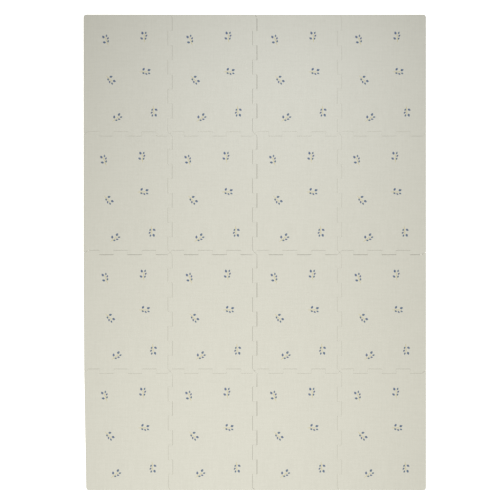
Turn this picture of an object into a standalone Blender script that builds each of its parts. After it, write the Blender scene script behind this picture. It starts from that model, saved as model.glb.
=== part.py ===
"""Foam puzzle mat: sixteen die-cut foam tiles, locked together by tabs and lying flat as one mat."""

import math

import bmesh
import bpy
from mathutils import Vector

# Tiles across and down the mat
COLUMNS = 4
ROWS = 4

# A tile from seam line to seam line, and its thickness
TILE_WIDTH = 0.381
TILE_LENGTH = 0.5334
THICKNESS = 0.0127

# How far the lower left corner is drawn in as the mat lies, and the tiles that share it
CORNER_DRAW = 0.012
DRAWN_COLUMNS = 2
DRAWN_ROWS = 2

# The outer tiles end in a straight cut a little past the last seam line
SIDE_MARGIN = 0.008
END_MARGIN = 0.003
MAT_CORNER_RADIUS = 0.011

# Tabs stand half their depth to either side of the seam line, and widen towards their tips
TAB_DEPTH = 0.020
TAB_FLARE = 0.0012
TAB_CORNER_RADIUS = 0.002

# Four tiles meet in points whose tips are rounded, which leaves a small hole between them
MEETING_POINT_RADIUS = 0.0035

# Tabs and notches of one tile's side, counted together, and the length of each but the two end ones
TAB_RUNS = {
    "upright": {"count": 8, "length": 0.0655},
    "crosswise": {"count": 6, "length": 0.0638},
}

# Width of each cut between tiles, from the left and from the top: the middle ones stand more open
CUT_WIDTHS = {
    "upright": (0.0003, 0.0006, 0.0003),
    "crosswise": (0.0003, 0.0006, 0.0004),
}
OUTER_CUT_WIDTH = 0.0003

# The largest turn between two neighbouring points of a rounded corner, and the slack of that count
ARC_STEP = math.radians(45)
ARC_SLACK = 1e-6

FOAM_COLOUR = (0.640, 0.625, 0.545, 1.0)
FOAM_ROUGHNESS = 0.78


def clear_scene():
    for obj in list(bpy.data.objects):
        bpy.data.objects.remove(obj)


def printed_foam():
    material = bpy.data.materials.new("printed_foam")
    material.use_nodes = True
    shader = material.node_tree.nodes["Principled BSDF"]
    shader.inputs["Base Color"].default_value = FOAM_COLOUR
    shader.inputs["Roughness"].default_value = FOAM_ROUGHNESS
    shader.inputs["Metallic"].default_value = 0.0
    return material


# Corners of an outline are (place, radius, half the width of the cut beside it)


def seam_line(column, row):
    """Where the seam lines left of this column and above this row cross."""
    x = (column - COLUMNS / 2) * TILE_WIDTH
    y = (ROWS / 2 - row) * TILE_LENGTH
    leftward = max(0.0, 1 - column / DRAWN_COLUMNS)
    downward = max(0.0, 1 - (ROWS - row) / DRAWN_ROWS)
    return Vector((x + CORNER_DRAW * (leftward * downward) ** 2, y))


def half_cut(kind, index, count):
    """Half the width of the cut on seam line index, where 0 and count are the mat's own edges."""
    if index in (0, count):
        return OUTER_CUT_WIDTH / 2
    return CUT_WIDTHS[kind][index - 1] / 2


def tab_corners(start, end, kind, half_width):
    """The corners of the tabs between two crossings of seam lines, the first tab on the left of the way."""
    heading = (end - start).normalized()
    left = Vector((-heading.y, heading.x)) * TAB_DEPTH / 2
    span = (end - start).length
    count = TAB_RUNS[kind]["count"]
    length = TAB_RUNS[kind]["length"]
    end_length = (span - TAB_DEPTH - (count - 2) * length) / 2
    places = [start + heading * TAB_DEPTH / 2 + left]
    side = 1
    for step in range(count - 1):
        along = TAB_DEPTH / 2 + end_length + step * length
        places.append(start + heading * (along + TAB_FLARE) + left * side)
        places.append(start + heading * (along - TAB_FLARE) - left * side)
        side = -side
    places.append(end - heading * TAB_DEPTH / 2 - left)
    return [(place, TAB_CORNER_RADIUS, half_width) for place in places]


def meeting_corners(column, row, arrives_crosswise):
    """The corners of an outline where two seam lines cross, in the order in which it passes them."""
    at_side = column in (0, COLUMNS)
    at_end = row in (0, ROWS)
    crossing = seam_line(column, row)
    edge_x = crossing.x + math.copysign(SIDE_MARGIN + OUTER_CUT_WIDTH / 2, crossing.x)
    edge_y = crossing.y + math.copysign(END_MARGIN + OUTER_CUT_WIDTH / 2, crossing.y)
    half_width = max(half_cut("upright", column, COLUMNS), half_cut("crosswise", row, ROWS))
    if at_side and at_end:
        return [(Vector((edge_x, edge_y)), MAT_CORNER_RADIUS, half_width)]
    if not at_side and not at_end:
        return [(crossing, MEETING_POINT_RADIUS, half_width)]
    edge = Vector((edge_x, crossing.y)) if at_side else Vector((crossing.x, edge_y))
    corners = [
        (crossing, TAB_CORNER_RADIUS, half_width),
        (edge, TAB_CORNER_RADIUS, OUTER_CUT_WIDTH / 2),
    ]
    seam_comes_first = arrives_crosswise == at_side
    return corners if seam_comes_first else corners[::-1]


def tile_corners(column, row):
    """One tile's corners, anticlockwise from its top left: down, right, up and back."""
    right = column + 1
    bottom = row + 1
    corners = meeting_corners(column, row, arrives_crosswise=True)
    if column > 0:
        width = half_cut("upright", column, COLUMNS)
        corners += tab_corners(seam_line(column, row), seam_line(column, bottom), "upright", width)
    corners += meeting_corners(column, bottom, arrives_crosswise=False)
    if bottom < ROWS:
        width = half_cut("crosswise", bottom, ROWS)
        corners += tab_corners(seam_line(column, bottom), seam_line(right, bottom), "crosswise", width)
    corners += meeting_corners(right, bottom, arrives_crosswise=True)
    if right < COLUMNS:
        width = half_cut("upright", right, COLUMNS)
        corners += tab_corners(seam_line(right, row), seam_line(right, bottom), "upright", width)[::-1]
    corners += meeting_corners(right, row, arrives_crosswise=False)
    if row > 0:
        width = half_cut("crosswise", row, ROWS)
        corners += tab_corners(seam_line(column, row), seam_line(right, row), "crosswise", width)[::-1]
    return corners


def rounded(corners):
    """The corners turned into arcs, as (place, half the width of the cut beside it)."""
    points = []
    for index, (place, radius, half_width) in enumerate(corners):
        back = (corners[index - 1][0] - place).normalized()
        ahead = (corners[(index + 1) % len(corners)][0] - place).normalized()
        turn = math.pi - back.angle(ahead)
        middle = place + (back + ahead).normalized() * radius / math.cos(turn / 2)
        first = place + back * radius * math.tan(turn / 2) - middle
        anticlockwise = back.x * ahead.y - back.y * ahead.x < 0
        steps = math.ceil(turn / ARC_STEP - ARC_SLACK)
        for step in range(steps + 1):
            angle = turn * step / steps * (1 if anticlockwise else -1)
            spoke = Vector((
                first.x * math.cos(angle) - first.y * math.sin(angle),
                first.x * math.sin(angle) + first.y * math.cos(angle),
            ))
            points.append((middle + spoke, half_width))
    return points


def drawn_in(points):
    """The closed outline moved inwards by half the width of the cut."""
    moved = []
    for index, (place, half_width) in enumerate(points):
        arriving = (place - points[index - 1][0]).normalized()
        leaving = (points[(index + 1) % len(points)][0] - place).normalized()
        inward = Vector((-arriving.y - leaving.y, arriving.x + leaving.x))
        moved.append(place + inward * half_width / (1 + arriving.dot(leaving)))
    return moved


def add_tile(name, column, row, material):
    """A tile as one solid: its outline pushed up by the foam's thickness, its origin under its middle."""
    centre = (seam_line(column, row) + seam_line(column + 1, row + 1)) / 2
    outline = drawn_in(rounded(tile_corners(column, row)))
    shape = bmesh.new()
    sole = shape.faces.new([shape.verts.new((*(point - centre), 0.0)) for point in outline])
    pushed = bmesh.ops.extrude_face_region(shape, geom=[sole])
    top = [item for item in pushed["geom"] if isinstance(item, bmesh.types.BMVert)]
    bmesh.ops.translate(shape, verts=top, vec=(0.0, 0.0, THICKNESS))
    bmesh.ops.recalc_face_normals(shape, faces=shape.faces)
    mesh = bpy.data.meshes.new(name)
    shape.to_mesh(mesh)
    shape.free()
    mesh.materials.append(material)
    tile = bpy.data.objects.new(name, mesh)
    tile.location = (centre.x, centre.y, 0.0)
    bpy.context.collection.objects.link(tile)


def main():
    clear_scene()
    material = printed_foam()
    for row in range(ROWS):
        for column in range(COLUMNS):
            add_tile(f"tile_r{row + 1}_c{column + 1}", column, row, material)


main()
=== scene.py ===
import math

import bmesh
import bpy
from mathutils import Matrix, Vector, noise


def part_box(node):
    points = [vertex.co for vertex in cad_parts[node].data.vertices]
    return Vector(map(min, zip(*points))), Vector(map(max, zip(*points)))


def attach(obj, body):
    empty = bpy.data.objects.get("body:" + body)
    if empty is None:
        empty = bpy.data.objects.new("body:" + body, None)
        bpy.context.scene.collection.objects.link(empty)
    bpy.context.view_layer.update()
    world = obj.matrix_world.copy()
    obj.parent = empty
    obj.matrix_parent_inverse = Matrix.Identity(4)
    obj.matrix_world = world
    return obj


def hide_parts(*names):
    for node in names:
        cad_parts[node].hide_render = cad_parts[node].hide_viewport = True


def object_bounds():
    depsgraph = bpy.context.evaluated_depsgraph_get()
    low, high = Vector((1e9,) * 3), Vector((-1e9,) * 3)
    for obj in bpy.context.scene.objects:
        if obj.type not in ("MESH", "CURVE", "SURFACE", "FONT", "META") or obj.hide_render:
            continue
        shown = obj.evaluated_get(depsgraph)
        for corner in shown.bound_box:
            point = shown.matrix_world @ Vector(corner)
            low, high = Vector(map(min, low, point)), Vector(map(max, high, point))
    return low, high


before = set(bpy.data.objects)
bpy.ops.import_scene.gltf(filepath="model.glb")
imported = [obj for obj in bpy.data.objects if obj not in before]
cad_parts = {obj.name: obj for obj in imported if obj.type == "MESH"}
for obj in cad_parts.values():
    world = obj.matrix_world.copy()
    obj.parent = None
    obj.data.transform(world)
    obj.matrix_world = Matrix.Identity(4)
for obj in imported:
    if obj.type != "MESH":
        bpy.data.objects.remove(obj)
cadLow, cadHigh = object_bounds()
print("frame loaded, tiles:", len(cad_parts))


# Node tree helpers

def feed(tree, socket, value):
    # a socket takes either another socket's output or a fixed value
    if isinstance(value, bpy.types.NodeSocket):
        tree.links.new(value, socket)
    else:
        socket.default_value = value


def addNode(tree, kind, inputs=(), **settings):
    node = tree.nodes.new(kind)
    spot = len(tree.nodes)
    node.location = (spot % 8 * 220, spot // 8 * -320)
    for name, value in settings.items():
        setattr(node, name, value)
    for name, value in dict(inputs).items():
        feed(tree, node.inputs[name], value)
    return node


def calc(tree, operation, *values):
    node = addNode(tree, "ShaderNodeMath", operation=operation)
    for socket, value in zip(node.inputs, values):
        feed(tree, socket, value)
    return node.outputs[0]


def softStep(tree, value, low, high):
    # 0 below low, 1 above high, and a smooth ramp between them
    node = addNode(tree, "ShaderNodeMapRange", {"Value": value, "From Min": low, "From Max": high},
                   interpolation_type="SMOOTHSTEP")
    return node.outputs["Result"]


def blendColours(tree, share, first, second, mode="MIX"):
    node = addNode(tree, "ShaderNodeMix", data_type="RGBA", blend_type=mode)
    feed(tree, node.inputs[0], share)
    feed(tree, node.inputs[6], first)
    feed(tree, node.inputs[7], second)
    return node.outputs[2]


def pickVector(tree, share, first, second):
    node = addNode(tree, "ShaderNodeMix", data_type="VECTOR")
    feed(tree, node.inputs[0], share)
    feed(tree, node.inputs[4], first)
    feed(tree, node.inputs[5], second)
    return node.outputs[1]


def split(tree, vector):
    return addNode(tree, "ShaderNodeSeparateXYZ", {"Vector": vector}).outputs


def softEdge(tree, room, softness):
    # inked where there is room, with half of the soft edge to either side of the line where room is 0
    low = calc(tree, "MULTIPLY", softness, -0.5)
    high = calc(tree, "MULTIPLY", softness, 0.5)
    return softStep(tree, room, low, high)


def pressIn(tree, shader, height, strength, depth):
    bump = addNode(tree, "ShaderNodeBump", {"Height": height, "Strength": strength, "Distance": depth})
    feed(tree, shader.inputs["Normal"], bump.outputs["Normal"])


def newGroup(name, inputs, outputs):
    tree = bpy.data.node_groups.new(name, "ShaderNodeTree")
    for title, kind in inputs.items():
        tree.interface.new_socket(title, in_out="INPUT", socket_type="NodeSocket" + kind)
    for title, kind in outputs.items():
        tree.interface.new_socket(title, in_out="OUTPUT", socket_type="NodeSocket" + kind)
    start = tree.nodes.new("NodeGroupInput")
    end = tree.nodes.new("NodeGroupOutput")
    start.location = (-300, 0)
    end.location = (2200, 0)
    return tree, start.outputs, end.inputs


def useGroup(tree, group, inputs=()):
    node = addNode(tree, "ShaderNodeGroup", node_tree=group)
    for name, value in dict(inputs).items():
        feed(tree, node.inputs[name], value)
    return node.outputs


def colour(red, green, blue):
    # screen values from 0 to 255, turned into the shader's linear ones
    levels = [level / 255 for level in (red, green, blue)]
    linear = [((level + 0.055) / 1.055) ** 2.4 if level > 0.04045 else level / 12.92 for level in levels]
    return (*linear, 1.0)


# The print: one sprig, in millimetres, its stem along X with the tip at +X

sprigValues = {
    "stem": {"tail": -31.0, "tip": 9.0, "halfWidth": 0.74},
    "stalkWidth": 0.75,     # a stalk's width as a share of the stem's
    "lineTaper": 0.35,      # share of its width that a line loses by its end
    "lineBegins": (0.0, 0.06),      # shares of a line's run over which its ink sets in
    "lineEnds": (1.04, 0.98),       # and gives out
    "lineSoftness": 0.35,
    "lineInk": 0.85,
    "bow": 1.6,             # the whole sprig bends by this much towards its ends
    "bowReach": 30.0,
    "handShake": 0.8,
    "shakeScale": 0.32,
    "leafSoftness": 0.14,
    "leafTaper": 0.30,      # a leaf is this much fuller at its base and finer at its tip
    "leafFoot": 0.9,        # where its stalk meets a leaf, as a share of its half length
    "leafInkStep": 3.7,     # sets the chance of one leaf's ink apart from the next one's
    "tealShare": 0.45,
    "thinning": 0.12,       # ink that a leaf lacks at its middle, and how much more of it at the tip
    "thinningToTip": 0.10,
    "vein": (0.04, 0.17),   # where it begins to fade and ends, from the leaf's middle line
    "veinShows": 0.30,
    # centre, turn in degrees, half length and half width, and where its stalk leaves the stem
    "leaves": [
        {"centre": (12.5, 8.9), "turn": 24, "half": (7.5, 4.9), "stalkFrom": -9.0, "ink": "indigo"},
        {"centre": (-12.0, 12.0), "turn": 60, "half": (7.2, 4.8), "stalkFrom": -24.0, "ink": "indigo"},
        {"centre": (13.4, -6.2), "turn": -15, "half": (6.0, 3.6), "stalkFrom": -4.0, "ink": "slate"},
        {"centre": (0.8, -9.6), "turn": -40, "half": (6.0, 3.7), "stalkFrom": -12.5, "ink": "violet"},
        {"centre": (-12.2, -6.2), "turn": -30, "half": (5.9, 3.5), "stalkFrom": -24.0, "ink": "slate"},
    ],
    "inks": {
        "indigo": colour(26, 64, 108),
        "slate": colour(42, 78, 106),
        "violet": colour(60, 70, 112),
        "teal": colour(38, 85, 100),
        "gold": colour(190, 173, 84),
        "thinned": colour(150, 158, 184),
        "veined": colour(165, 170, 190),
    },
}


def leafGroup():
    # a leaf with a full base and a finer tip, as a mask with its own along and across
    tree, given, out = newGroup(
        "sprigLeaf",
        {"Vector": "Vector", "Centre": "Vector", "Turn": "Vector", "Half Size": "Vector",
         "Softness": "Float"},
        {"Mask": "Float", "Along": "Float", "Vein": "Float"})
    values = sprigValues
    inLeaf = addNode(tree, "ShaderNodeMapping", {
        "Vector": given["Vector"], "Location": given["Centre"],
        "Rotation": given["Turn"], "Scale": given["Half Size"]}, vector_type="TEXTURE")
    along, across, _ = split(tree, inLeaf.outputs["Vector"])
    narrowing = calc(tree, "MULTIPLY_ADD", along, values["leafTaper"], 1.0)
    aside = calc(tree, "ABSOLUTE", calc(tree, "MULTIPLY", across, narrowing))
    halfWidth = calc(tree, "SUBTRACT", 1.0, calc(tree, "MULTIPLY", along, along))
    room = calc(tree, "SUBTRACT", halfWidth, aside)
    feed(tree, out["Mask"], softEdge(tree, room, given["Softness"]))
    feed(tree, out["Along"], along)
    feed(tree, out["Vein"], calc(tree, "SUBTRACT", 1.0, softStep(tree, aside, *values["vein"])))
    return tree


def lineGroup():
    # a drawn line that leaves the stem along it and curves away to its end
    tree, given, out = newGroup(
        "sprigLine",
        {"Vector": "Vector", "Start": "Float", "End": "Vector", "Half Width": "Float",
         "Softness": "Float"},
        {"Mask": "Float"})
    values = sprigValues
    x, y, _ = split(tree, given["Vector"])
    endX, endY, _ = split(tree, given["End"])
    span = calc(tree, "SUBTRACT", endX, given["Start"])
    way = calc(tree, "DIVIDE", calc(tree, "SUBTRACT", x, given["Start"]), span)
    height = calc(tree, "MULTIPLY", endY, calc(tree, "MULTIPLY", way, way))
    slope = calc(tree, "DIVIDE", calc(tree, "MULTIPLY", calc(tree, "MULTIPLY", endY, way), 2.0), span)
    steepness = calc(tree, "SQRT", calc(tree, "MULTIPLY_ADD", slope, slope, 1.0))
    distance = calc(tree, "DIVIDE", calc(tree, "ABSOLUTE", calc(tree, "SUBTRACT", y, height)), steepness)
    taper = calc(tree, "MULTIPLY_ADD", way, -values["lineTaper"], 1.0)
    tapered = calc(tree, "MULTIPLY", given["Half Width"], taper)
    inked = softEdge(tree, calc(tree, "SUBTRACT", tapered, distance), given["Softness"])
    begun = softStep(tree, way, *values["lineBegins"])
    ended = softStep(tree, way, *values["lineEnds"])
    feed(tree, out["Mask"], calc(tree, "MULTIPLY", inked, calc(tree, "MULTIPLY", begun, ended)))
    return tree


def sprigGroup(leaf, line):
    tree, given, out = newGroup("sprigPrint", {"Vector": "Vector", "Seed": "Float"},
                                {"Ink": "Color", "Mask": "Float"})
    values = sprigValues
    x, y, _ = split(tree, given["Vector"])
    reach = calc(tree, "DIVIDE", x, values["bowReach"])
    bent = calc(tree, "MULTIPLY_ADD", calc(tree, "MULTIPLY", reach, reach), values["bow"], y)
    place = addNode(tree, "ShaderNodeCombineXYZ", {"X": x, "Y": bent}).outputs[0]
    # a drawn edge is never quite clean
    wobble = addNode(tree, "ShaderNodeTexNoise",
                     {"Vector": given["Vector"], "Scale": values["shakeScale"], "Detail": 1.0},
                     noise_dimensions="2D")
    shaken = addNode(tree, "ShaderNodeVectorMath", {0: wobble.outputs["Color"], 1: (0.5, 0.5, 0.5)},
                     operation="SUBTRACT").outputs[0]
    shake = (values["handShake"], values["handShake"], 0.0)
    shaken = addNode(tree, "ShaderNodeVectorMath", {0: shaken, 1: shake, 2: place},
                     operation="MULTIPLY_ADD").outputs[0]

    stem = values["stem"]
    inks = values["inks"]
    lines = useGroup(tree, line, {
        "Vector": shaken, "Start": stem["tail"], "End": (stem["tip"], 0.0, 0.0),
        "Half Width": stem["halfWidth"], "Softness": values["lineSoftness"]})["Mask"]
    ink = inks["gold"]
    leafMask = 0.0
    for number, row in enumerate(values["leaves"]):
        turn = math.radians(row["turn"])
        ahead = Vector((math.cos(turn), math.sin(turn)))
        foot = Vector(row["centre"]) - ahead * row["half"][0] * values["leafFoot"]
        stalk = useGroup(tree, line, {
            "Vector": shaken, "Start": row["stalkFrom"], "End": (*foot, 0.0),
            "Half Width": stem["halfWidth"] * values["stalkWidth"],
            "Softness": values["lineSoftness"]})["Mask"]
        lines = calc(tree, "MAXIMUM", lines, stalk)
        shape = useGroup(tree, leaf, {
            "Vector": shaken, "Centre": (*row["centre"], 0.0), "Turn": (0, 0, turn),
            "Half Size": (*row["half"], 1.0), "Softness": values["leafSoftness"]})
        # each leaf has its own drop of ink, a little fuller at the base than at the tip
        leafSeed = calc(tree, "ADD", given["Seed"], number * values["leafInkStep"])
        chance = addNode(tree, "ShaderNodeTexWhiteNoise", {"W": leafSeed},
                         noise_dimensions="1D").outputs["Value"]
        own = blendColours(tree, calc(tree, "MULTIPLY", chance, values["tealShare"]), inks[row["ink"]],
                           inks["teal"])
        paler = calc(tree, "MULTIPLY_ADD", shape["Along"], values["thinningToTip"], values["thinning"])
        own = blendColours(tree, paler, own, inks["thinned"])
        own = blendColours(tree, calc(tree, "MULTIPLY", shape["Vein"], values["veinShows"]), own,
                           inks["veined"])
        ink = blendColours(tree, shape["Mask"], ink, own)
        leafMask = calc(tree, "MAXIMUM", leafMask, shape["Mask"])
    feed(tree, out["Ink"], ink)
    lineMask = calc(tree, "MULTIPLY", lines, values["lineInk"])
    feed(tree, out["Mask"], calc(tree, "MAXIMUM", lineMask, leafMask))
    return tree


# Linen grain: crossed threads, some of them thicker than others, pressed and printed into the film

linenValues = {
    "threadPitch": 0.0012,
    "threadRun": 0.018,      # how far a thread keeps its thickness
    "threadTone": 0.38,
    "threadEdge": (0.32, 0.68),
    "threadRoughness": 0.4,
    "slubPitch": 0.007,
    "slubRun": 0.10,
    "slubTone": 0.22,
    # so that no two sets of threads run alike
    "warpShift": 3.1,
    "weftShift": 7.9,
    "slubWarpShift": 11.3,
    "slubWeftShift": 17.7,
    "shiftAlong": 1.7,
}


def linenGroup():
    tree, given, out = newGroup("linenGrain", {"Vector": "Vector"}, {"Height": "Float", "Tone": "Float"})
    values = linenValues

    def threads(kind, upright, shift):
        across, along = 1 / values[kind + "Pitch"], 1 / values[kind + "Run"]
        size = (across, along, 1.0) if upright else (along, across, 1.0)
        placed = addNode(tree, "ShaderNodeMapping", {
            "Vector": given["Vector"], "Scale": size,
            "Location": (shift, shift * values["shiftAlong"], 0.0)})
        cloth = addNode(tree, "ShaderNodeTexNoise",
                        {"Vector": placed.outputs["Vector"], "Scale": 1.0, "Detail": 1.0,
                         "Roughness": values["threadRoughness"]},
                        noise_dimensions="2D").outputs["Fac"]
        return softStep(tree, cloth, *values["threadEdge"])

    warp = threads("thread", True, values["warpShift"])
    weft = threads("thread", False, values["weftShift"])
    slubWarp = threads("slub", True, values["slubWarpShift"])
    slubWeft = threads("slub", False, values["slubWeftShift"])
    fine = calc(tree, "MULTIPLY", calc(tree, "ADD", warp, weft), 0.5)
    coarse = calc(tree, "MULTIPLY", calc(tree, "ADD", slubWarp, slubWeft), 0.5)
    feed(tree, out["Height"], fine)
    # both lie about a half, so the tone does too
    fineTone = calc(tree, "MULTIPLY_ADD", calc(tree, "SUBTRACT", fine, 0.5), values["threadTone"], 0.5)
    feed(tree, out["Tone"], calc(tree, "MULTIPLY_ADD", calc(tree, "SUBTRACT", coarse, 0.5),
                                 values["slubTone"], fineTone))
    return tree


# The three faces of the foam

printValues = {
    "groundShade": colour(197, 195, 181),
    "groundLight": colour(211, 209, 195),
    "roughness": 0.62,
    "roughnessDrift": 0.06,
    "gloss": 0.35,
    "cloudScale": 5.0,
    "toneDrift": 0.03,
    "inkCover": 1.08,
    "inkLostOnThreads": 0.3,
    "emboss": 0.35,
    "embossDepth": 0.00025,
    "sprigs": {             # millimetres from the middle of a tile, and the turn of the stem in degrees
        "topLeft": (-107.4, 156.5, 107), "topRight": (64.7, 172.2, 89),
        "middleLeft": (-78.3, -27.4, -46), "middleRight": (77.8, 12.7, -2),
        "lowLeft": (-51.9, -192.9, 34), "lowRight": (113.9, -173.8, -88),
    },
    "leafMiddle": (0.5, 3.3),   # the leaves' middle in the sprig's own frame
    "rowSplits": (-95.0, 85.0),     # the lines half-way between the sprigs
    "columnSplit": 5.0,
}


def sprigPlace(name):
    # those places are of the leaves' middle, so the sprig's own origin lies a little off it
    x, y, degrees = printValues["sprigs"][name]
    turn = math.radians(degrees)
    aheadBy, asideBy = printValues["leafMiddle"]
    return (x - aheadBy * math.cos(turn) + asideBy * math.sin(turn),
            y - aheadBy * math.sin(turn) - asideBy * math.cos(turn), turn)


def newMaterial(name):
    material = bpy.data.materials.new(name)
    material.use_nodes = True
    tree = material.node_tree
    tree.nodes.clear()
    shader = tree.nodes.new("ShaderNodeBsdfPrincipled")
    shader.location = (2000, 0)
    end = tree.nodes.new("ShaderNodeOutputMaterial")
    end.location = (2400, 0)
    tree.links.new(shader.outputs[0], end.inputs["Surface"])
    return material, tree, shader


def printedTop(linen, sprig):
    values = printValues
    material, tree, shader = newMaterial("printedTop")
    onTile = addNode(tree, "ShaderNodeUVMap", uv_map="print").outputs["UV"]
    inRoom = addNode(tree, "ShaderNodeTexCoord").outputs["Object"]
    grain = useGroup(tree, linen, {"Vector": onTile})
    cloud = addNode(tree, "ShaderNodeTexNoise",
                    {"Vector": inRoom, "Scale": values["cloudScale"], "Detail": 2.0}).outputs["Fac"]
    # ground colour: threads first, then a slow drift over the whole mat and each tile's own tone
    ground = blendColours(tree, grain["Tone"], values["groundShade"], values["groundLight"])
    tileTone = addNode(tree, "ShaderNodeAttribute", attribute_name="tileTone").outputs["Fac"]
    drift = calc(tree, "MULTIPLY_ADD", calc(tree, "SUBTRACT", cloud, 0.5), values["toneDrift"], tileTone)
    drifted = addNode(tree, "ShaderNodeCombineXYZ", {"X": drift, "Y": drift, "Z": drift}).outputs[0]
    ground = blendColours(tree, 1.0, ground, drifted, "MULTIPLY")

    # the nearest sprig's place, then that sprig alone is drawn
    inMillimetres = addNode(tree, "ShaderNodeVectorMath", {0: onTile, "Scale": 1000.0},
                            operation="SCALE").outputs[0]
    x, y, _ = split(tree, inMillimetres)
    aboveLow = calc(tree, "GREATER_THAN", y, values["rowSplits"][0])
    aboveMiddle = calc(tree, "GREATER_THAN", y, values["rowSplits"][1])
    onRight = calc(tree, "GREATER_THAN", x, values["columnSplit"])
    sides = []
    for side in ("Left", "Right"):
        lower = pickVector(tree, aboveLow, sprigPlace("low" + side), sprigPlace("middle" + side))
        sides.append(pickVector(tree, aboveMiddle, lower, sprigPlace("top" + side)))
    nearest = pickVector(tree, onRight, *sides)
    placeX, placeY, placeTurn = split(tree, nearest)
    fromPlace = addNode(tree, "ShaderNodeCombineXYZ", {
        "X": calc(tree, "SUBTRACT", x, placeX),
        "Y": calc(tree, "SUBTRACT", y, placeY)}).outputs[0]
    turned = addNode(tree, "ShaderNodeVectorRotate", {"Vector": fromPlace, "Angle": placeTurn},
                     rotation_type="Z_AXIS", invert=True).outputs[0]
    drawn = useGroup(tree, sprig, {"Vector": turned, "Seed": placeTurn})
    # the ink lies thinner where the film's threads stand up
    cover = calc(tree, "MULTIPLY_ADD", grain["Height"], -values["inkLostOnThreads"], values["inkCover"])
    inked = calc(tree, "MULTIPLY", drawn["Mask"], cover)
    feed(tree, shader.inputs["Base Color"], blendColours(tree, inked, ground, drawn["Ink"]))
    smoothest = values["roughness"] - values["roughnessDrift"] / 2
    feed(tree, shader.inputs["Roughness"],
         calc(tree, "MULTIPLY_ADD", cloud, values["roughnessDrift"], smoothest))
    pressIn(tree, shader, grain["Height"], values["emboss"], values["embossDepth"])
    shader.inputs["Specular IOR Level"].default_value = values["gloss"]
    return material


cutValues = {
    "foam": colour(211, 203, 180),
    # painted shade: the colour at the bottom of each cell's hollow
    "shade": colour(186, 176, 150),
    "cell": 0.0011,
    "cellRim": 0.75,
    "litShareInPits": 0.4,         # how much of the foam's own colour is left at the bottom of a cell; the rest is painted shade
    "roughness": 0.85,
    "gloss": 0.2,
    "emboss": 0.5,
    "embossDepth": 0.0002,
}


def cutFoam():
    # the sawn wall of the foam: fine closed cells, each a tiny hollow with painted shade darkening its
    # bottom
    values = cutValues
    material, tree, shader = newMaterial("cutFoam")
    inRoom = addNode(tree, "ShaderNodeTexCoord").outputs["Object"]
    cells = addNode(tree, "ShaderNodeTexVoronoi", {"Vector": inRoom, "Scale": 1 / values["cell"]})
    height = softStep(tree, cells.outputs["Distance"], 0.0, values["cellRim"])
    own = calc(tree, "MULTIPLY_ADD", height, 1 - values["litShareInPits"], values["litShareInPits"])
    # painted shade: each cell grows darker towards its bottom
    feed(tree, shader.inputs["Base Color"], blendColours(tree, own, values["shade"], values["foam"]))
    shader.inputs["Roughness"].default_value = values["roughness"]
    shader.inputs["Specular IOR Level"].default_value = values["gloss"]
    pressIn(tree, shader, height, values["emboss"], values["embossDepth"])
    return material


underValues = {
    "foam": colour(206, 200, 182),
    "shade": colour(186, 180, 160),
    "grainScale": 420.0,
    "roughness": 0.8,
    "gloss": 0.25,
    "emboss": 0.4,
    "embossDepth": 0.0003,
}


def underFoam():
    # the plain back: the foam's own fine-grained skin
    values = underValues
    material, tree, shader = newMaterial("underFoam")
    inRoom = addNode(tree, "ShaderNodeTexCoord").outputs["Object"]
    skin = addNode(tree, "ShaderNodeTexNoise",
                   {"Vector": inRoom, "Scale": values["grainScale"], "Detail": 2.0}).outputs["Fac"]
    feed(tree, shader.inputs["Base Color"], blendColours(tree, skin, values["shade"], values["foam"]))
    shader.inputs["Roughness"].default_value = values["roughness"]
    shader.inputs["Specular IOR Level"].default_value = values["gloss"]
    pressIn(tree, shader, skin, values["emboss"], values["embossDepth"])
    return material


sprig = sprigGroup(leafGroup(), lineGroup())
foamMaterials = [printedTop(linenGroup(), sprig), cutFoam(), underFoam()]
print("materials made")


# The tiles

tileValues = {
    "rows": 4,
    "columns": 4,
    "sameSpot": 0.00001,     # the solids' loose triangles are joined, and their flat walls made whole
    "flatWithin": 0.5,       # degrees
    "cornerShare": 0.42,     # how much of its shorter neighbour wall a corner takes when it is rounded
    "cornerNarrowest": 0.0005,
    "cornerWidest": 0.0036,
    "cornerSegments": 2,
    "mergeWithin": 0.00028,  # walls shorter than this are merged before the rim is rolled
    "rimWidth": 0.0006,
    "flankRim": 0.2,         # share of the rim's width on the flanks of the tabs, which press together
    "rimSegments": 4,
    "flatRing": 0.0003,
    "seamReach": 0.013,      # half a tab's depth, with room for its slant and the shift of the seam
    "flankGap": 0.00004,     # left between a tab's flank and the seam's middle line
    # millimetres, the three upright seams first: the solids' cuts, and how much further the tips
    # stand open on the two sides of each seam
    "cuts": ((0.3, 0.6, 0.3), (0.3, 0.6, 0.4)),
    "opened": (((0.0, 0.15), (-0.05, 0.6), (-0.05, -0.1)), ((-0.08, 0.1), (-0.1, 0.4), (0.05, -0.1))),
    "meetingSize": 0.35,     # what is left of the hole where four tiles meet
    "meetingReach": (0.003, 0.009),  # drawn together in full up to here, and not at all past there
    "gridStep": 0.044,
    "waveHeight": 0.00022,
    "waveLength": 0.21,
    "waveSeed": 7.3,
    "levelChange": 0.0001,
    "levelSeed": (2.37, 4.1, 0.5),
    "toneChange": 0.008,
    "toneSeed": (1.91, 8.8, 2.2),
    "rowShift": ((4.2, 2.3), (-4.8, -4.2), (1.4, -0.75), (-0.9, 2.5)),   # print off its place, mm
    "columnShift": (2.8, 0.15, 0.3, -3.3),
    "filmFaces": 0.3,        # a face that looks up more than this carries the film
    "underFaces": -0.9,
    "smoothWithin": 40,      # degrees
}


def select(piece):
    bpy.ops.object.select_all(action="DESELECT")
    bpy.context.view_layer.objects.active = piece
    piece.select_set(True)


def isUpright(edge):
    run = edge.verts[1].co - edge.verts[0].co
    return abs(run.z) > 0.9 * run.length


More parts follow.
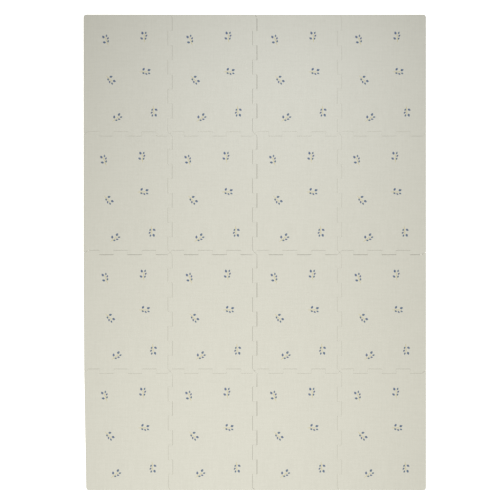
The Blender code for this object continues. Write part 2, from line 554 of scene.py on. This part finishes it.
def roundUprightCorners(piece):
    # each corner gets a bevel weight of its own, so small arcs and large ones both come out round
    values = tileValues
    shape = bmesh.new()
    shape.from_mesh(piece.data)
    weight = shape.edges.layers.float.new("bevel_weight_edge")
    for edge in shape.edges:
        if isUpright(edge) and len(edge.link_faces) == 2:
            wall = min(other.calc_length() for face in edge.link_faces
                       for other in face.edges if not isUpright(other))
            if wall > values["cornerNarrowest"]:
                edge[weight] = min(1.0, wall * values["cornerShare"] / values["cornerWidest"])
    shape.to_mesh(piece.data)
    shape.free()
    bevel = piece.modifiers.new("round corners", "BEVEL")
    bevel.limit_method = "WEIGHT"
    bevel.offset_type = "OFFSET"
    bevel.width = values["cornerWidest"]
    bevel.segments = values["cornerSegments"]
    bevel.use_clamp_overlap = False
    bpy.ops.object.modifier_apply(modifier=bevel.name)


def nearSeam(place, axis):
    # which seam a point of the outline belongs to, 0 to 2 from the left or from the far end, and on
    # which side of its middle line it lies; None away from the seams and at the mat's own edges
    pitch = (pitchX, -pitchY)[axis]
    steps = round(place[axis] / pitch)
    aside = place[axis] / pitch - steps
    if abs(steps) > 1 or abs(aside * pitch) > tileValues["seamReach"]:
        return None
    return steps + 1, int(aside > 0)


def flankShare(place, outward):
    # 1 on the flank of a tab, 0 on its tip, on the mat's own edge and where tiles meet at a corner
    upright, cross = nearSeam(place, 0), nearSeam(place, 1)
    toSide = abs(abs(place.x) - tileValues["columns"] / 2 * pitchX)
    toEnd = abs(abs(place.y) - tileValues["rows"] / 2 * pitchY)
    if (upright and cross) or min(toEnd, toSide) < tileValues["seamReach"]:
        return 0.0
    return outward.y ** 2 if upright else outward.x ** 2 if cross else 0.0


def closeMeeting(place, outward, found):
    # where four tiles meet one of the two slanting cuts is pressed shut, and all of it draws together
    # about the meeting point, which can't make the tiles cross
    values = tileValues
    (upright, _), (cross, _) = found
    meeting = Vector(((upright - 1) * pitchX, (1 - cross) * pitchY, place.z))
    pressed = min(values["cuts"][0][upright], values["cuts"][1][cross]) / 2000 - values["flankGap"]
    settled = place + outward * max(0.0, -2 * outward.x * outward.y) * pressed
    apart = settled - meeting
    near, far = values["meetingReach"]
    away = min(1.0, max(0.0, (apart.length - near) / (far - near)))
    away = away * away * (3 - 2 * away)
    return meeting + apart * (values["meetingSize"] + (1 - values["meetingSize"]) * away) - place


def settleSeams(piece):
    # laid tight, the foam closes the cut along the flanks, and at the tips each seam stays open a little
    values = tileValues
    shape = bmesh.new()
    shape.from_mesh(piece.data)
    moves = []
    for edge in shape.edges:
        if isUpright(edge):
            place = edge.verts[0].co
            outward = sum((face.normal for face in edge.link_faces), Vector())
            outward.z = 0
            outward.normalize()
            step = Vector()
            found = [nearSeam(place, 0), nearSeam(place, 1)]
            if all(found):
                step = closeMeeting(place, outward, found)
            for axis in (0, 1):
                if found[axis] and not found[1 - axis]:
                    seam, side = found[axis]
                    step[axis] -= outward[axis] * values["opened"][axis][seam][side] / 2000
                    pressed = values["cuts"][axis][seam] / 2000 - values["flankGap"]
                    step += outward * flankShare(place, outward) * pressed
            moves += [(vertex, step) for vertex in edge.verts]
    for vertex, step in moves:
        vertex.co += step
    shape.to_mesh(piece.data)
    shape.free()


def rollRim(piece):
    # the die draws the film over the edge in a quarter round, narrower along the pressed flanks,
    # and a level ring inside it keeps the shading of the top flat
    values = tileValues
    shape = bmesh.new()
    shape.from_mesh(piece.data)
    top = max(shape.faces, key=lambda face: face.normal.z)
    edge = [corner.vert for corner in top.loops]
    plan = []
    for index, vertex in enumerate(edge):
        arriving = (vertex.co - edge[index - 1].co).normalized()
        leaving = (edge[(index + 1) % len(edge)].co - vertex.co).normalized()
        way = (arriving + leaving).normalized()
        inward = Vector((-way.y, way.x, 0.0))
        meeting = nearSeam(vertex.co, 0) and nearSeam(vertex.co, 1)
        narrow = 1.0 if meeting else flankShare(vertex.co, inward)
        width = values["rimWidth"] * (1 - (1 - values["flankRim"]) * narrow)
        plan.append((vertex.co.copy(), inward, width))
    shape.faces.remove(top)
    steps = [math.pi / 2 * step / values["rimSegments"] for step in range(values["rimSegments"] + 1)]
    rings = [[(1 - math.cos(turn)) * width for _, _, width in plan] for turn in steps]
    drops = [[(1 - math.sin(turn)) * width for _, _, width in plan] for turn in steps]
    rings.append([width + values["flatRing"] for _, _, width in plan])
    drops.append([0.0] * len(plan))
    outer = edge
    for vertex, drop in zip(edge, drops[0]):
        vertex.co.z -= drop
    for insets, falls in zip(rings[1:], drops[1:]):
        inner = [shape.verts.new(place + inward * inset - Vector((0, 0, fall)))
                 for (place, inward, _), inset, fall in zip(plan, insets, falls)]
        for index in range(len(inner)):
            after = (index + 1) % len(inner)
            shape.faces.new((outer[index], outer[after], inner[after], inner[index]))
        outer = inner
    shape.faces.new(outer)
    shape.to_mesh(piece.data)
    shape.free()


def shapeTile(piece):
    values = tileValues
    select(piece)
    bpy.ops.object.mode_set(mode="EDIT")
    bpy.ops.mesh.select_all(action="SELECT")
    bpy.ops.mesh.remove_doubles(threshold=values["sameSpot"])
    bpy.ops.mesh.dissolve_limited(angle_limit=math.radians(values["flatWithin"]))
    bpy.ops.object.mode_set(mode="OBJECT")
    if piece.data.has_custom_normals:
        bpy.ops.mesh.customdata_custom_splitnormals_clear()
    roundUprightCorners(piece)
    settleSeams(piece)
    # very short walls would turn over as the rim moves inwards
    bpy.ops.object.mode_set(mode="EDIT")
    bpy.ops.mesh.select_all(action="SELECT")
    bpy.ops.mesh.remove_doubles(threshold=values["mergeWithin"])
    bpy.ops.object.mode_set(mode="OBJECT")
    rollRim(piece)

    # a grid over the tile lets its top rise and fall
    bpy.ops.object.mode_set(mode="EDIT")
    low = Vector(piece.bound_box[0])
    high = Vector(piece.bound_box[6])
    for axis in (0, 1):
        span = high[axis] - low[axis]
        count = round(span / values["gridStep"])
        normal = Vector((axis == 0, axis == 1, 0))
        for step in range(1, count):
            bpy.ops.mesh.select_all(action="SELECT")
            bpy.ops.mesh.bisect(plane_co=low + normal * span * step / count, plane_no=normal)
    bpy.ops.object.mode_set(mode="OBJECT")


def tileNoise(tile, seed):
    step, y, z = seed
    return noise.noise(Vector((tile["number"] * step, y, z)))


def layTile(piece, tile):
    # soft foam never lies quite level: the underside keeps to the floor and the top waves a little
    values = tileValues
    level = values["levelChange"] * tileNoise(tile, values["levelSeed"])
    for vertex in piece.data.vertices:
        spot = Vector((vertex.co.x / values["waveLength"], vertex.co.y / values["waveLength"],
                       tile["number"] * values["waveSeed"]))
        lift = values["waveHeight"] * noise.noise(spot) + level
        vertex.co.z += lift * vertex.co.z / tile["thickness"]


def finishTile(piece, tile):
    values = tileValues
    printMiddle = tile["centre"] + tile["shift"]
    uv = piece.data.uv_layers.new(name="print")
    for loop in piece.data.loops:
        place = piece.data.vertices[loop.vertex_index].co
        uv.data[loop.index].uv = (place.x - printMiddle.x, place.y - printMiddle.y)
    tone = piece.data.attributes.new("tileTone", "FLOAT", "POINT")
    own = 1.0 + values["toneChange"] * tileNoise(tile, values["toneSeed"])
    for item in tone.data:
        item.value = own
    for material in foamMaterials:
        piece.data.materials.append(material)
    for face in piece.data.polygons:
        if face.normal.z > values["filmFaces"]:
            face.material_index = 0
        elif face.normal.z < values["underFaces"]:
            face.material_index = 2
        else:
            face.material_index = 1
    select(piece)
    bpy.ops.object.shade_smooth_by_angle(angle=math.radians(values["smoothWithin"]))


def middle(name):
    low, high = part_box(name)
    return (low + high) / 2


def makeTile(row, column):
    values = tileValues
    name = f"tile_r{row + 1}_c{column + 1}"
    piece = bpy.data.objects.new("printed_" + name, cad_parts[name].data.copy())
    bpy.context.scene.collection.objects.link(piece)
    piece.data.materials.clear()
    rowX, rowY = values["rowShift"][row]
    tile = {
        "number": row * values["columns"] + column,
        "thickness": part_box(name)[1].z,
        "centre": Vector(((column - (values["columns"] - 1) / 2) * pitchX,
                          ((values["rows"] - 1) / 2 - row) * pitchY)),
        "shift": Vector((rowX + values["columnShift"][column], rowY)) / 1000,
    }
    shapeTile(piece)
    layTile(piece, tile)
    finishTile(piece, tile)
    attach(piece, "root")
    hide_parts(name)
    return piece


# the inner tiles are whole to all sides, so their middles give the pitch of the seams
pitchX = middle("tile_r2_c3").x - middle("tile_r2_c2").x
pitchY = middle("tile_r2_c3").y - middle("tile_r3_c3").y
tiles = [makeTile(row, column)
         for row in range(tileValues["rows"]) for column in range(tileValues["columns"])]
print("tiles shaped:", len(tiles), "faces in all:", sum(len(piece.data.polygons) for piece in tiles))


# Studio: a white floor, an even room, a long soft light over the lower half of the mat and a cooler
# one over its far end

studioValues = {
    "floorSize": 60.0,
    "floorColour": (0.88, 0.88, 0.88, 1.0),
    "floorRoughness": 0.9,
    "floorGlow": 1.0,
    "coveredHalf": (0.745, 1.055),   # under the mat the floor is painted a dark shade and doesn't glow
    "shadeUnderMat": colour(96, 84, 62),
    "room": 0.287,
    "lights": {
        "softBar": {"place": (-0.135, -1.11, 2.79), "turn": -0.152, "size": (0.35, 3.72), "watts": 85.2,
                    "colour": (1.0, 1.0, 1.0)},
        "coolLamp": {"place": (0.124, 0.86, 0.85), "turn": 0.0, "size": (1.13, 0.5), "watts": 2.38,
                     "colour": (0.78, 0.84, 1.0)},
    },
}


def makeFloor():
    values = studioValues
    bpy.ops.object.select_all(action="DESELECT")
    bpy.ops.mesh.primitive_plane_add(size=values["floorSize"], location=(0, 0, 0))
    floor = bpy.context.active_object
    floor.name = "floor"
    material, tree, shader = newMaterial("paleFloor")
    shader.inputs["Roughness"].default_value = values["floorRoughness"]
    x, y, _ = split(tree, addNode(tree, "ShaderNodeTexCoord").outputs["Object"])
    beside = calc(tree, "GREATER_THAN", calc(tree, "ABSOLUTE", x), values["coveredHalf"][0])
    beyond = calc(tree, "GREATER_THAN", calc(tree, "ABSOLUTE", y), values["coveredHalf"][1])
    # painted shade: where the mat covers it the floor is dark brown, so the seams' gaps show dark
    shows = calc(tree, "MAXIMUM", beside, beyond)
    feed(tree, shader.inputs["Base Color"],
         blendColours(tree, shows, values["shadeUnderMat"], values["floorColour"]))
    feed(tree, shader.inputs["Emission Color"], blendColours(tree, shows, (0, 0, 0, 1), (1, 1, 1, 1)))
    shader.inputs["Emission Strength"].default_value = values["floorGlow"]
    material.cycles.emission_sampling = "NONE"
    floor.data.materials.append(material)


def makeLights():
    for name, values in studioValues["lights"].items():
        lamp = bpy.data.lights.new(name, "AREA")
        lamp.shape = "RECTANGLE"
        lamp.size, lamp.size_y = values["size"]
        lamp.energy = values["watts"]
        lamp.color = values["colour"]
        light = bpy.data.objects.new(name, lamp)
        light.location = values["place"]
        light.rotation_euler = (0, 0, values["turn"])
        light.visible_camera = False
        bpy.context.scene.collection.objects.link(light)
    world = bpy.data.worlds.new("room")
    bpy.context.scene.world = world
    world.use_nodes = True
    room = world.node_tree.nodes["Background"]
    room.inputs["Color"].default_value = (1, 1, 1, 1)
    room.inputs["Strength"].default_value = studioValues["room"]
    bpy.context.scene.view_settings.view_transform = "Standard"


cameraValues = {
    "aim": (-0.0213, 0.0112),    # the picture's middle on the mat
    "pictureWidth": 2.2475,      # metres across the picture at the height of the print
    "lens": 120.0,
    "sensor": 36.0,
}


def makeCamera():
    values = cameraValues
    camera = bpy.data.objects.new("camera", bpy.data.cameras.new("camera"))
    camera.data.lens = values["lens"]
    camera.data.sensor_width = values["sensor"]
    height = values["pictureWidth"] * values["lens"] / values["sensor"]
    camera.location = (*values["aim"], cadHigh.z + height)
    bpy.context.scene.collection.objects.link(camera)
    bpy.context.scene.camera = camera


makeFloor()
makeLights()
makeCamera()
print("studio ready")
